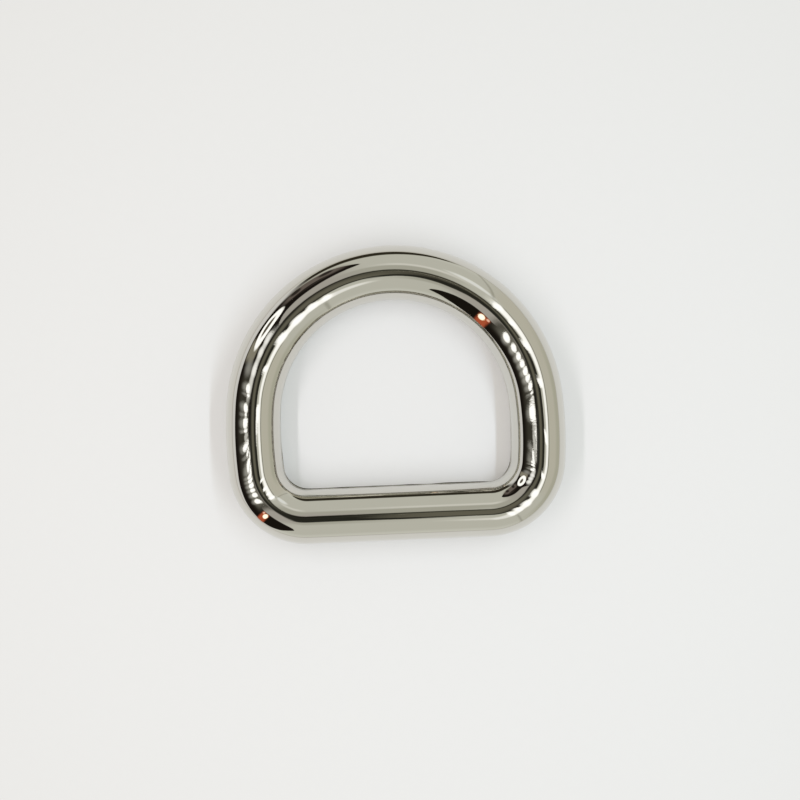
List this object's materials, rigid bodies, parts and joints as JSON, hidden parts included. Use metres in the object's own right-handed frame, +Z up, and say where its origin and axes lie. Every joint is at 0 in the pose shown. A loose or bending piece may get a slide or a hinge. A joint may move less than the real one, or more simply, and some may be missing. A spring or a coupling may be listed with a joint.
{
  "type": "d ring",
  "caption": "Closed D-shaped ring of round, mirror-polished section, with a straight bar for a strap and a rounded arch for a hook.",
  "frame": {"origin": "the point of the surface that the ring lies on, under the centre of its bounding box", "axes": "+Z up through the flat ring, +X along the strap bar, +Y from the strap bar to the crown of the arch"},
  "size_m": [0.0368, 0.032, 0.0059],
  "materials": {
    "nickel_plate": "mirror-polished nickel plate, slightly warm"
  },
  "bodies": {
    "root": {"d_ring": "nickel_plate"}
  },
  "joints": []
}
